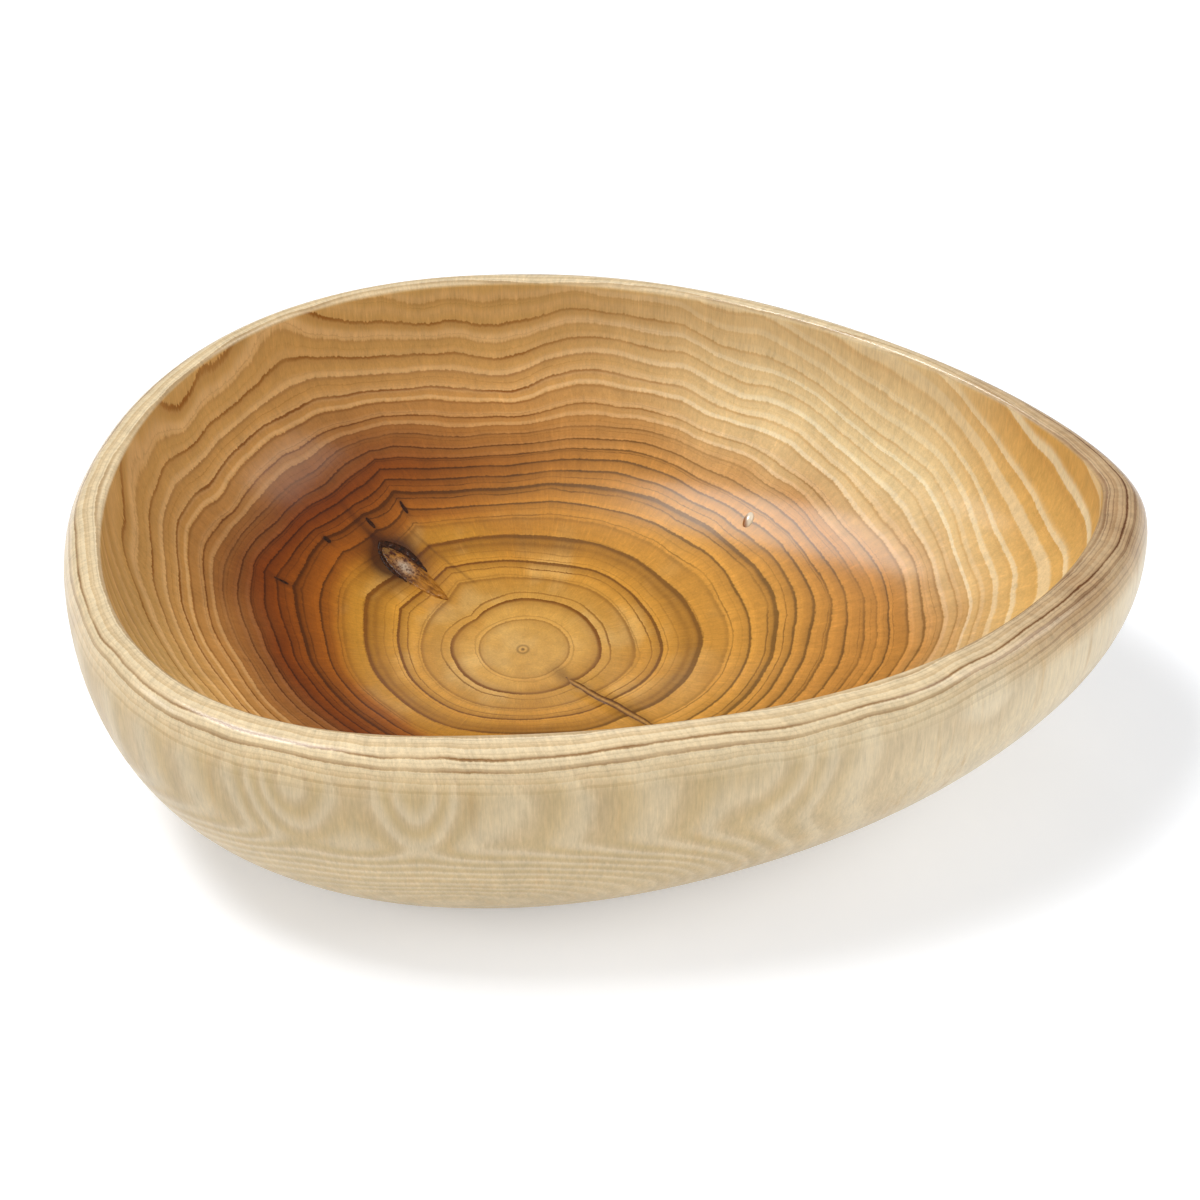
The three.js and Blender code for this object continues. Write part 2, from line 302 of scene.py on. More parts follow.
def bowl_rows():
    """The bowl's section at every station, from the middle of the foot round to the middle of the floor."""
    foot = FOOT_CENTRE + FOOT_RADIUS * unit(OUTER_EDGE - FOOT_CENTRE)
    crest = INNER_EDGE + EDGE_RADIUS * unit(OUTER_EDGE - INNER_EDGE)
    shares = np.linspace(FIRST_FOOT_ROW, 1, FOOT_ROWS)
    rows = [level(between(FOOT_CENTRE, foot, share), 0) for share in shares]
    for angle in np.linspace(0, math.pi / 2, WALL_ROWS + 1)[1:]:
        out = math.sin(angle)
        rows.append(level(between(foot, OUTER_EDGE, out), SHOULDER_HEIGHT * (1 - math.cos(angle))))
    for angle in np.linspace(0, math.pi / 2, RIM_ROWS + 1)[1:]:
        out = abs(math.cos(angle)) ** (2 / RIM_SQUARENESS)
        up = math.sin(angle) ** (2 / RIM_SQUARENESS)
        rows.append(level(between(crest, OUTER_EDGE, out), SHOULDER_HEIGHT + SHOULDER_DROP * up))
    for angle in np.linspace(0, math.pi / 2, EDGE_ROWS + 1)[1:]:
        inwards = math.sin(angle)
        rows.append(level(between(crest, INNER_EDGE, inwards), EDGE_HEIGHT + EDGE_RADIUS * math.cos(angle)))
    for angle in np.linspace(0, math.pi / 2, HOLLOW_ROWS + 1)[1:-1]:
        out = math.cos(angle) ** (2 / HOLLOW_SQUARENESS)
        down = math.sin(angle) ** (2 / HOLLOW_SQUARENESS)
        rows.append(level(between(FOOT_CENTRE, INNER_EDGE, out), EDGE_HEIGHT - HOLLOW_DEPTH * down))
    return rows


def dip(plan, azimuth, width, begins, ends):
    """How deep a sanded dip lies at plan points, from 0 to 1, along a line from the pith."""
    along, across = along_and_across(plan, azimuth)
    return np.exp(-((across / width) ** 2)) * smooth(*begins, along) * (1 - smooth(*ends, along))


def carve(points):
    """The surface after hand work: shallow tool waves, and dips where the check and the knot were sanded."""
    out = points.copy()
    plan = points[:, :2]
    wave = surface_noise(points, TOOL_WAVE_LENGTH, TOOL_WAVE_SEED) - 1
    loose = smooth(*TOOL_WAVE_HEIGHTS, points[:, 2])
    out[:, :2] += unit(plan - FOOT_CENTRE + 1e-9) * (TOOL_WAVE * wave * loose)[:, None]
    inside = np.abs(points[:, 2] - hollow_height(plan)) < SAME_SURFACE
    groove = dip(plan, CRACK_AZIMUTH, CRACK_DIP_WIDTH, CRACK_DIP_BEGINS, CRACK_DIP_ENDS)
    bed = dip(plan, KNOT_AZIMUTH, KNOT_DIP_WIDTH, KNOT_DIP_BEGINS, KNOT_DIP_ENDS)
    out[:, 2] -= inside * (CRACK_DIP * groove + KNOT_DIP * bed)
    return out


def carved_height(plan):
    """Height of the finished hollow under plan points, dips included."""
    return carve(np.column_stack((plan, hollow_height(plan))))[:, 2]


class Flow:
    """A socket of a material's node tree. Python's arithmetic on it adds Math nodes."""

    def __init__(self, finish, socket):
        self.finish = finish
        self.socket = socket

    def math(self, operation, *others):
        return self.finish.node("ShaderNodeMath", {"operation": operation}, dict(enumerate((self, *others))))

    def __add__(self, other):
        return self.math("ADD", other)

    def __sub__(self, other):
        return self.math("SUBTRACT", other)

    def __mul__(self, other):
        return self.math("MULTIPLY", other)

    def __truediv__(self, other):
        return self.math("DIVIDE", other)

    def __pow__(self, other):
        return self.math("POWER", other)

    def __neg__(self):
        return self.math("MULTIPLY", -1)

    __radd__ = __add__
    __rmul__ = __mul__

    def __rsub__(self, other):
        return self.finish.node("ShaderNodeMath", {"operation": "SUBTRACT"}, {0: other, 1: self})

    def __rtruediv__(self, other):
        return self.finish.node("ShaderNodeMath", {"operation": "DIVIDE"}, {0: other, 1: self})

    def sine(self):
        return self.math("SINE")

    def rise(self, low, high):
        """0 below low, 1 above high, smooth between them. It falls instead where high is below low."""
        if high < low:
            return 1 - self.rise(high, low)
        sockets = {"Value": self, "From Min": low, "From Max": high}
        return self.finish.node("ShaderNodeMapRange", {"interpolation_type": "SMOOTHSTEP"}, sockets)

    def band(self, up_from, up_to, down_from, down_to):
        """Rises from 0 to 1 between the first two values, and falls to 0 between the last two."""
        return self.rise(up_from, up_to) * self.rise(down_to, down_from)

    def bell(self, width):
        """1 at zero, falling to nothing a few widths away."""
        return (-((self / width) ** 2)).math("EXPONENT")

    def tent(self, width):
        """1 at zero with a sharp crest, falling away on both sides."""
        return (-(self.math("ABSOLUTE") / width)).math("EXPONENT")

    def towards(self, other, share):
        """This value where the share is 0, and the other one where it is 1."""
        return self + share * (other - self)


class Finish:
    """A material under construction."""

    def __init__(self, name):
        self.material = bpy.data.materials.new(name)
        self.material.use_nodes = True
        self.tree = self.material.node_tree
        self.tree.nodes.clear()

    def node(self, kind, settings=None, sockets=None, output=0):
        """Adds a node: its settings first, then the values or links of its sockets. Returns one output."""
        made = self.tree.nodes.new(kind)
        for name, value in (settings or {}).items():
            setattr(made, name, value)
        for name, value in (sockets or {}).items():
            if isinstance(value, Flow):
                self.tree.links.new(value.socket, made.inputs[name])
            else:
                made.inputs[name].default_value = value
        return Flow(self, made.outputs[output]) if made.outputs else None

    def place(self):
        """Where a point lies on the object, in millimetres, as three values."""
        where = self.node("ShaderNodeTexCoord", output="Object")
        apart = {"Vector": where}
        return [self.node("ShaderNodeSeparateXYZ", None, apart, axis) / MM for axis in "XYZ"]

    def vector(self, x, y, z):
        return self.node("ShaderNodeCombineXYZ", None, {"X": x, "Y": y, "Z": z})

    def noise(self, vector, detail=2.0, roughness=0.5):
        """Noise from about -1 to 1 whose waves are one unit of the vector long."""
        sockets = {"Vector": vector, "Scale": 1.0, "Detail": detail, "Roughness": roughness}
        return self.node("ShaderNodeTexNoise", {"noise_dimensions": "3D"}, sockets) * 2 - 1

    def mix(self, share, first, second):
        """A colour that goes from first to second."""
        sockets = {"Factor": share, 6: first, 7: second}
        return self.node("ShaderNodeMix", {"data_type": "RGBA"}, sockets, 2)

    def tint(self, colour, shade):
        """A colour multiplied by a grey value."""
        grey = self.vector(shade, shade, shade)
        return self.node("ShaderNodeVectorMath", {"operation": "MULTIPLY"}, {0: colour, 1: grey})

    def lacquered(self, colour, roughness, relief, depth, coat):
        """Closes the material as a surface under clear lacquer."""
        bump = self.node("ShaderNodeBump", None, {"Height": relief, "Distance": depth, "Strength": 1.0})
        sockets = {
            "Base Color": colour,
            "Roughness": roughness,
            "Normal": bump,
            "Specular IOR Level": SHEEN_UNDER_LACQUER,
            "Coat Weight": coat,
            "Coat Roughness": LACQUER_ROUGHNESS,
        }
        return self.close(self.node("ShaderNodeBsdfPrincipled", None, sockets))

    def close(self, shader):
        self.node("ShaderNodeOutputMaterial", None, {"Surface": shader})
        return self.material


def tone(red, green, blue):
    """A colour written as it shows on screen, from 0 to 255, as the shader needs it."""
    shown = (red / 255, green / 255, blue / 255)
    return (*(((c + 0.055) / 1.055) ** 2.4 if c > 0.04045 else c / 12.92 for c in shown), 1.0)


# The lacquer: how much of it lies on each wood, and how smooth it set
LACQUER = 0.36
EXTRA_LACQUER_ON_RIM = 0.3
LACQUER_ON_DEAD_WOOD = 0.15
LACQUER_ON_BARK = 0.08
LACQUER_ROUGHNESS = 0.18
SHEEN_UNDER_LACQUER = 0.15

# How the trunk grew, in millimetres and degrees: its section about the pith, and how its rings close up
SECTION_RADIUS = 138.5
SECTION_LOBES = (
    {"count": 1, "height": 45.4, "towards": 52},
    {"count": 2, "height": 32.5, "towards": 3},
    {"count": 3, "height": 9.6, "towards": 17},
)
SECTION_ONSET = 0.8
SECTION_LIMIT = 1.3
ROUND_RADIUS = 100
TRUNK_TAPER = 0.27
PITH_LEAN = (-0.41, -0.03)
RINGS_PER_MM = 0.16
FIRST_RING = 12
CLOSER_RINGS = {"from": 50, "added": 0.27, "onset": 14}
WIDER_RINGS = {"from": 92, "lost": 0.3, "onset": 20, "side": (15, 80)}
FALSE_RINGS = 2.63
BACK_LEFT_BULGE = {"turn": 2.6, "sharpness": 10, "push": 6, "heights": (20, 85)}
TIP_SWELL = {"push": 1.6, "ages": (90, 110), "side": (20, 60)}
RING_CORNERS = (
    {"azimuth": 126.5, "from": 20, "to": 84, "push": -2.2},
    {"azimuth": 158, "from": 28, "to": 60, "push": -1.5},
    {"azimuth": 139, "from": 13, "to": 34, "push": 2.6},
)
CORNER_WIDTH = 7
PIN_DENT = {"push": -1.1, "wide": 4, "long": 8}
CRACK_BEND = {"push": 1.6, "wide": 4, "reach": (9, 16, 50, 70)}
OUTER_CALM = {"age": 92, "kept": 0.25, "heights": (4, 50)}
OUTER_SWIRLS = (
    {"x": -75, "z": 70, "wide": 9, "tall": 22, "push": 4.6},
    {"x": -45, "z": 71, "wide": 8, "tall": 23, "push": 5},
    {"x": 42, "z": 69, "wide": 12, "tall": 20, "push": 4.2},
    {"x": 92, "z": 68, "wide": 11, "tall": 17, "push": 4},
)

# Noise in the wood: its waves across and along the trunk in millimetres, then its detail and roughness
WANDER = (32, 80, 1.0)
QUIVER = (12, 40, 1.0)
SWELL = (21, 50, 1.0)
FIBRE = (0.6, 14, 2.0, 0.6)
PORES = (0.22, 5, 1.0)
TOOTH = (1.25, 5, 4.0, 0.75)
STREAK = (3.2, 60, 3.0, 0.6)
MOTTLE = (5, 12, 3.0, 0.6)
PATCH = (15, 40)
CLOUD = (38, 60)
BROAD_DRIFT = (60, 60, 1.0)
SHORT_DRIFT = (13, 13, 1.0)

# Where the wood changes: along, over and up the bowl in millimetres, and by its way across the rim
PALE_SIDE = (-40, 60)
TIP_SIDE = (70, 125)
TIP_WALL = (82, 116)
PALE_OUTER_SIDE = (30, 90)
FRONT_SIDE = (20, -20)
HIGH_OUTSIDE = (12, 44)
INNER_EDGE_WAY = (0.0, 0.05)
OUTER_EDGE_WAY = (0.36, 0.8)
OUTER_AGE_WAY = (0.12, 0.32)
RIM_LINES = 9
MORE_LINES_AT_TIP = 3
THIN_RIM_LINES = 2.4

# Parts of a ring, as shares of its width outwards
LATE_WOOD = (0.45, 0.95, 0.95, 1.0)
RING_END = (0.78, 0.91, 0.965, 1.0)
OUTER_LATE_WOOD = (0.3, 0.8, 0.8, 1.0)
CREAM_WOOD = (0.1, 0.4, 0.5, 0.8)
EARLY_WOOD = (0.0, 0.05, 0.24, 0.42)
RIM_LATE_WOOD = (0.5, 0.9, 0.93, 1.0)
THIN_LATE_WOOD = (0.5, 0.85, 0.9, 1.0)

# The heartwood and the core in it, by the age of their rings in millimetres and by direction in radians
HEART_EDGE = 63
HEART_FADE = (13, -7)
HEART_TONGUE = {"turn": -0.12, "wide": 0.45, "reach": 15}
LEFTWARD_TURNS = (0.5, 2.5)
CORE_EDGE = 41
CORE_FADE_LEFT = (5, -2)
CORE_AGES_RIGHT = (56, 16)
CORE_LEFT_SHARES = (0.55, 0.85)
PALE_CORE_AGES = (36, 8)
DEEP_HEART_AGES = (40, 60)
RUSSET_AGES = (44, 66)
# Ages below which the sapwood darkens: browner wood next to the heartwood, partly painted shade on the left
# and back walls
INNER_SAP_AND_SHADE_AGES = (94, 66)

# Colours of the heartwood
HEART_RIGHT = tone(200, 144, 60)
HEART_LEFT = tone(150, 86, 18)
HEART_DEEP = tone(110, 48, 3)
HEART_RUSSET = tone(176, 116, 56)
CORE_GOLD = tone(184, 130, 42)
CORE_PALE = tone(198, 152, 74)
CORE_CREAM = tone(214, 178, 112)
CORE_OLIVE = tone(172, 116, 26)
CORE_LINE = tone(122, 74, 14)

# Colours of the sapwood inside the bowl, on its outer wall and on its rim
SAP_LEFT = tone(227, 191, 122)
SAP_RIGHT = tone(238, 215, 164)
SAP_TIP = tone(225, 181, 106)
# The inner colours: darker, browner sapwood next to the heartwood, partly painted shade on the left and back
# walls inside the bowl
SAP_INNER_AND_SHADE = tone(188, 130, 62)
FRESH_LEFT = tone(244, 210, 152)
FRESH_RIGHT = tone(250, 237, 200)
FRESH_INNER_AND_SHADE = tone(206, 152, 84)
LINE_LEFT = tone(172, 118, 58)
LINE_RIGHT = tone(204, 156, 90)
LINE_INNER_AND_SHADE = tone(118, 66, 18)
OUTER_LEFT = tone(207, 179, 127)
OUTER_RIGHT = tone(228, 208, 170)
OUTER_STREAK = tone(194, 158, 102)
OUTER_FRESH = tone(236, 218, 184)
OUTER_LINE = tone(186, 150, 94)
RIM_PALE = tone(230, 210, 172)
RIM_GOLD = tone(224, 197, 152)
RIM_SOAKED = tone(156, 106, 54)
RIM_LINE = tone(136, 96, 50)
RIM_LINE_AT_TIP = tone(96, 54, 22)

# Resin in the wood round the knots and the check, by distance along and across their lines in millimetres
AMBER = tone(146, 86, 12)
AMBER_LINE = tone(86, 44, 5)
RESIN = tone(58, 26, 8)
AMBER_SPOT = {"along": 44, "long": 12, "across": -2, "wide": 8, "strength": 0.6}
KNOT_HALO = {"along": 49, "long": 7, "across": 0.5, "wide": 6.5, "strength": 1.9}
KNOT_TRAIL = {"across": 0, "wide": 1.2, "reach": (50, 54, 62, 76), "strength": 0.5}
KNOT_SEAM = {"across": -9.5, "wide": 0.5, "reach": (24, 30, 44, 58), "strength": 0.3}
PITH_SPOT = {"radius": 0, "wide": 0.5, "strength": 0.8}
PITH_RING = {"radius": 1.5, "wide": 0.4, "strength": 0.5}
PIN_STAIN = {"wide": 1.0, "strength": 0.5}
CRACK_SMUDGE = {"along": CRACK_START / MM, "long": 3.4, "across": 0, "wide": 2.4, "strength": 0.5}
CRACK_STAIN = {"across": 0, "wide": 2.0, "reach": (14, 22, 50, 60), "strength": 0.4}
STAIN_LIMIT = 0.9


def grain_line(x, y, azimuth):
    """Distances from the pith in a direction, and sideways from that line, for a material."""
    angle = math.radians(azimuth)
    east = x - PITH[0] / MM
    north = y - PITH[1] / MM
    along = east * math.cos(angle) + north * math.sin(angle)
    across = north * math.cos(angle) - east * math.sin(angle)
    return along, across


def spot(along, across, form):
    """An oval stain on a line from the pith."""
    middle = (along - form["along"]).bell(form["long"])
    return form["strength"] * middle * (across - form["across"]).bell(form["wide"])


def stripe(along, across, form):
    """A narrow stain that runs beside a line from the pith."""
    return form["strength"] * (across - form["across"]).bell(form["wide"]) * along.band(*form["reach"])


def resin_stain(x, y):
    """How strongly resin has darkened the wood round the knots and the check, and at the pith."""
    east = x - PITH[0] / MM
    north = y - PITH[1] / MM
    radius = (east * east + north * north).math("SQRT")
    along, across = grain_line(x, y, KNOT_AZIMUTH)
    stain = spot(along, across, KNOT_HALO)
    stain = stain + stripe(along, across, KNOT_TRAIL) + stripe(along, across, KNOT_SEAM)
    for ring in (PITH_SPOT, PITH_RING):
        stain = stain + ring["strength"] * (radius - ring["radius"]).bell(ring["wide"])
    for pin in PIN_KNOTS:
        along, across = grain_line(x, y, pin["azimuth"])
        beside = PIN_STAIN["strength"] * (along - pin["distance"] / MM).bell(pin["length"] / MM)
        stain = stain + beside * across.bell(PIN_STAIN["wide"])
    along, across = grain_line(x, y, CRACK_AZIMUTH)
    across = across - crack_wobble(along)
    stain = stain + spot(along, across, CRACK_SMUDGE) + stripe(along, across, CRACK_STAIN)
    return stain.math("MINIMUM", STAIN_LIMIT)


def crack_wobble(along):
    """How far the check strays sideways, in millimetres, at distances from the pith in millimetres."""
    sine = Flow.sine if isinstance(along, Flow) else np.sin
    return 0.3 * sine(along / 4.7) + 0.12 * sine(along / 1.7 + 1)


class Wood(Finish):
    """The lacquered softwood of the bowl: one solid grain through floor, walls and rim."""

    def __init__(self):
        super().__init__("lacquered_wood")
        self.x, self.y, self.z = self.place()
        self.fibre = self.waves(*FIBRE)
        self.pores = self.waves(*PORES)
        self.tooth = self.waves(*TOOTH)
        self.streak = self.waves(*STREAK)
        self.patch = self.waves(*PATCH)
        self.cloud = self.waves(*CLOUD)
        self.way = self.node("ShaderNodeAttribute", {"attribute_name": "rim_way"}, output="Fac")
        self.outside = self.way.rise(*OUTER_EDGE_WAY)
        self.rim = self.way.rise(*INNER_EDGE_WAY) * (1 - self.outside)
        self.pale = self.x.rise(*PALE_SIDE)
        self.tip = self.x.rise(*TIP_SIDE)
        self.high = self.z.rise(*HIGH_OUTSIDE)
        grown, self.radius, self.turn = self.grown_age()
        self.age = grown.towards(self.outer_age(grown), self.way.rise(*OUTER_AGE_WAY))
        self.ragged, self.count = self.count_rings()
        self.luck, self.part = self.ring_part(self.count)
        self.leftward = self.turn.math("ABSOLUTE").rise(*LEFTWARD_TURNS)
        self.heart = self.heart_share()

    def waves(self, across, along, detail=2.0, roughness=0.5):
        """Noise drawn out along the trunk, with waves of two lengths in millimetres."""
        where = self.vector(self.x / across, self.y / across, self.z / along)
        return self.noise(where, detail, roughness)

    def by_age(self, age, length, *shift):
        """Noise that changes only from ring to ring, with waves of one length in millimetres."""
        return self.noise(self.vector(age / length, *shift), 1.0)

    def ring_part(self, count):
        """A chance value for each growth ring, and how far a point lies through its ring."""
        ring = count.math("FLOOR")
        luck = self.node("ShaderNodeTexWhiteNoise", {"noise_dimensions": "1D"}, {"W": ring})
        return luck, count.math("FRACT")

    def grown_age(self):
        """The radius of a point's growth ring if the trunk were round, its true radius, and its direction."""
        x, y, z = self.x, self.y, self.z
        climb = z - FLOOR_THICKNESS / MM
        east = x - PITH[0] / MM - PITH_LEAN[0] * climb
        north = y - PITH[1] / MM - PITH_LEAN[1] * climb
        radius = (east * east + north * north + 0.01).math("SQRT")
        turn = north.math("ARCTAN2", east)
        reach = SECTION_RADIUS
        for lobe in SECTION_LOBES:
            swing = (turn - math.radians(lobe["towards"])) * lobe["count"]
            reach = reach + lobe["height"] * swing.math("COSINE")
        share = (radius / reach).math("MINIMUM", SECTION_LIMIT) ** SECTION_ONSET
        age = radius * ROUND_RADIUS / (ROUND_RADIUS + (reach - ROUND_RADIUS) * share) + TRUNK_TAPER * climb

        outer = age.rise(14, 70)
        age = age + self.waves(*WANDER) * (1.3 + 1.5 * outer) + self.waves(*QUIVER) * (0.35 + 0.25 * outer)
        swollen = TIP_SWELL["push"] * self.waves(*SWELL) * age.rise(*TIP_SWELL["ages"])
        age = age + swollen * x.rise(*TIP_SWELL["side"])
        facing = ((turn - BACK_LEFT_BULGE["turn"]).math("COSINE") - 1) * BACK_LEFT_BULGE["sharpness"]
        bulge = BACK_LEFT_BULGE["push"] * facing.math("EXPONENT")
        age = age + bulge * z.rise(*BACK_LEFT_BULGE["heights"])

        for corner in RING_CORNERS:
            along, across = grain_line(x, y, corner["azimuth"])
            there = along.band(corner["from"], corner["from"] + 6, corner["to"] - 14, corner["to"])
            age = age + corner["push"] * across.tent(CORNER_WIDTH) * there
        for pin in PIN_KNOTS:
            along, across = grain_line(x, y, pin["azimuth"])
            there = (along - pin["distance"] / MM).bell(PIN_DENT["long"])
            age = age + PIN_DENT["push"] * across.tent(PIN_DENT["wide"]) * there
        along, across = grain_line(x, y, CRACK_AZIMUTH)
        age = age + CRACK_BEND["push"] * across.tent(CRACK_BEND["wide"]) * along.band(*CRACK_BEND["reach"])
        return age, radius, turn

    def outer_age(self, age):
        """The ring ages that show on the outer wall: calm above, with a few swirls where boughs began."""
        calm = OUTER_CALM["age"] + OUTER_CALM["kept"] * (age - OUTER_CALM["age"])
        front = self.y.rise(*FRONT_SIDE)
        for swirl in OUTER_SWIRLS:
            beside = (self.x - swirl["x"]).bell(swirl["wide"]) * front
            calm = calm + swirl["push"] * beside * (self.z - swirl["z"]).bell(swirl["tall"])
        return age.towards(calm, self.z.rise(*OUTER_CALM["heights"]))

    def count_rings(self):
        """The age with edges roughened by the fibres, and the rings counted up to it at an uneven pace."""
        ragged = self.age + self.fibre * (0.22 - 0.08 * self.outside)
        ragged = ragged + 0.2 * self.tooth * (1 - 0.6 * self.outside) + 0.1 * self.outside * self.streak
        pace = 0.7 * self.by_age(ragged, 8, 2.7, 5.3) + 0.25 * self.by_age(ragged, 3.5, 1.1, 7.3)
        closer = (ragged - CLOSER_RINGS["from"]).math("SMOOTH_MAX", 0.0, CLOSER_RINGS["onset"])
        wider = (ragged - WIDER_RINGS["from"]).math("SMOOTH_MAX", 0.0, WIDER_RINGS["onset"])
        wider = wider * self.x.rise(*WIDER_RINGS["side"])
        count = RINGS_PER_MM * (ragged - FIRST_RING) + CLOSER_RINGS["added"] * closer
        return ragged, count - WIDER_RINGS["lost"] * wider + pace

    def late_line(self):
        """How strongly late wood darkens a point: a soft band and a sharp line at the end of each ring."""
        strong = (0.25 + 0.75 * self.luck) * self.age.rise(7, 10)
        inner = (0.38 * self.part.band(*LATE_WOOD) + 0.62 * self.part.band(*RING_END)) * strong
        outer = (0.08 + 0.2 * self.high) * self.part.band(*OUTER_LATE_WOOD)
        return inner.towards(outer, self.outside) * (0.9 + 0.6 * self.patch)

    def false_line(self):
        """How strongly false rings darken a point inside the bowl."""
        luck, part = self.ring_part(self.count * FALSE_RINGS + 0.4 + 0.4 * self.patch)
        strong = luck.rise(0.2, 1.0) * (0.6 + 0.8 * self.patch)
        return part.band(*RING_END) * strong * (1 - self.outside)

    def early_wood(self):
        """How strongly pale early wood shows: in cream lines inside the bowl, and in soft swirls outside."""
        luck, part = self.ring_part(self.count + 0.3 + 0.7 * self.by_age(self.ragged, 5, 6.1, 1.9))
        cream = part.band(*CREAM_WOOD).towards(self.part.band(*EARLY_WOOD), self.pale)
        swirl = 0.3 + (0.05 + 0.15 * self.high) * (self.count * 2 * math.pi).math("COSINE")
        return (cream * (0.3 + 0.7 * luck)).towards(swirl, self.outside)

    def heart_share(self):
        """1 in the heartwood, 0 in the sapwood, on the rim and outside."""
        tongue = (self.turn - HEART_TONGUE["turn"]).bell(HEART_TONGUE["wide"])
        edge = HEART_EDGE + HEART_TONGUE["reach"] * tongue
        beyond = self.age - edge + 5 * self.cloud + 3 * (self.luck - 0.5)
        return beyond.rise(*HEART_FADE) * (1 - self.outside) * (1 - self.rim)

    def heart_colours(self):
        """The heartwood's middle colour, its early wood and its late wood."""
        core_left = (self.age - CORE_EDGE + 2 * self.patch).rise(*CORE_FADE_LEFT)
        core_right = self.age.rise(*CORE_AGES_RIGHT)
        core = core_right.towards(core_left, self.leftward.rise(*CORE_LEFT_SHARES))
        base = self.mix(self.leftward, HEART_RIGHT, HEART_LEFT)
        base = self.mix(self.age.rise(*DEEP_HEART_AGES) * self.leftward, base, HEART_DEEP)
        base = self.mix(self.age.rise(*RUSSET_AGES) * (0.5 - 0.5 * self.leftward), base, HEART_RUSSET)
        base = self.mix(core, base, self.mix(self.age.rise(*PALE_CORE_AGES), CORE_GOLD, CORE_PALE))
        base = self.mix(0.45 * core * self.patch.rise(0.0, 0.45), base, CORE_CREAM)
        base = self.mix(0.4 * core * self.patch.rise(0.0, -0.45), base, CORE_OLIVE)
        return base, self.tint(base, 1.18), self.mix(core, self.tint(base, 0.38), CORE_LINE)

    def sap_colours(self):
        """The sapwood's middle colour, its early wood and its late wood, inside the bowl and outside."""
        # Sapwood next to the heartwood is darker and browner; this darkening is partly painted shade on the
        # left and back walls.
        inner = self.age.rise(*INNER_SAP_AND_SHADE_AGES) * (1 - self.pale)
        base = self.mix(self.pale, SAP_LEFT, SAP_RIGHT)
        base = self.mix(self.x.rise(*TIP_WALL), base, SAP_TIP)
        base = self.mix(0.85 * inner, base, SAP_INNER_AND_SHADE)
        fresh = self.mix(self.pale, FRESH_LEFT, FRESH_RIGHT)
        fresh = self.mix(0.7 * inner, fresh, FRESH_INNER_AND_SHADE)
        line = self.mix(self.pale, LINE_LEFT, LINE_RIGHT)
        line = self.mix(0.8 * inner, line, LINE_INNER_AND_SHADE)
        outer = self.mix(self.x.rise(*PALE_OUTER_SIDE), OUTER_LEFT, OUTER_RIGHT)
        outer = self.mix(self.streak.rise(0.0, 0.45) * (0.5 + self.patch), outer, OUTER_STREAK)
        base = self.mix(self.outside, base, outer)
        return base, self.mix(self.outside, fresh, OUTER_FRESH), self.mix(self.outside, line, OUTER_LINE)

    def rim_colour(self):
        """The rim's lines, which follow its edges, with the darker wood of the tip."""
        drift = 1.3 * self.waves(*BROAD_DRIFT) + 0.3 * self.waves(*SHORT_DRIFT) + 0.12 * self.tooth
        count = (RIM_LINES + MORE_LINES_AT_TIP * self.tip) * self.way + drift
        luck, part = self.ring_part(count)
        thin_luck, thin_part = self.ring_part(count * THIN_RIM_LINES + 0.3 * self.patch)
        thin_line = (0.3 + 0.3 * self.tip) * thin_luck * thin_part.band(*THIN_LATE_WOOD)
        line = part.band(*RIM_LATE_WOOD) * (0.12 + 0.7 * luck)
        line = (line + thin_line) * (0.8 + 0.8 * self.patch)
        colour = self.mix(part, RIM_PALE, RIM_GOLD)
        soak = self.tip * (0.75 + 0.35 * self.patch)
        colour = self.mix(0.7 * soak, colour, RIM_SOAKED)
        dark = self.mix(self.tip, RIM_LINE, RIM_LINE_AT_TIP)
        colour = self.mix(line.math("MINIMUM", 1.0), colour, dark)
        comb = self.noise(self.vector(self.turn * 110, self.way * 5, 0.0), 2.0, 0.6)
        return self.tint(colour, 1 + 0.14 * comb)

    def resin(self, colour, line):
        """The colour after resin has soaked in: amber beside the dead knot, dark round all the marks."""
        along, across = grain_line(self.x, self.y, KNOT_AZIMUTH)
        colour = self.mix(spot(along, across, AMBER_SPOT), colour, self.mix(line, AMBER, AMBER_LINE))
        return self.mix(resin_stain(self.x, self.y), colour, RESIN)

    def finished(self):
        """Puts the wood's colours together and lacquers it."""
        line = self.late_line()
        base, fresh, dark = (
            self.mix(self.heart, sap, heart) for sap, heart in zip(self.sap_colours(), self.heart_colours())
        )
        colour = self.mix(self.early_wood(), base, fresh)
        faded = 1 - 0.5 * self.pale * (1 - self.heart) * (1 - self.outside)
        lines = (line + (0.4 + 0.3 * self.heart) * self.false_line()) * faded * (1 + 0.6 * self.heart)
        colour = self.mix(lines.math("MINIMUM", 1.0), colour, dark)
        colour = self.mix(self.rim, colour, self.rim_colour())

        normal = self.node("ShaderNodeNewGeometry", output="Normal")
        end_grain = self.node("ShaderNodeSeparateXYZ", None, {"Vector": normal}, "Z").math("ABSOLUTE")
        rays = self.noise(self.vector(self.turn * 95, self.radius / 6, self.z / 12), 2.0, 0.6)
        shade = self.by_age(self.age, 11, 9.1, self.cloud * 0.3)
        tint = 1 + 0.13 * self.fibre + 0.12 * self.pores + 0.2 * self.tooth + 0.2 * rays * end_grain
        tint = tint + 0.1 * self.outside * self.streak + 0.16 * self.waves(*MOTTLE) + 0.06 * self.cloud
        bare = 1 - self.rim
        tint = tint + 0.14 * rays.rise(0.25, 0.6) * end_grain * bare + 0.14 * shade * bare
        colour = self.resin(self.tint(colour, tint), line)

        roughness = 0.5 - 0.08 * line + 0.08 * self.fibre
        relief = 0.15 * line + 0.35 * self.fibre + 0.3 * self.pores + 0.3 * rays * end_grain
        coat = LACQUER + EXTRA_LACQUER_ON_RIM * self.rim
        return self.lacquered(colour, roughness, relief, GRAIN_RELIEF, coat)


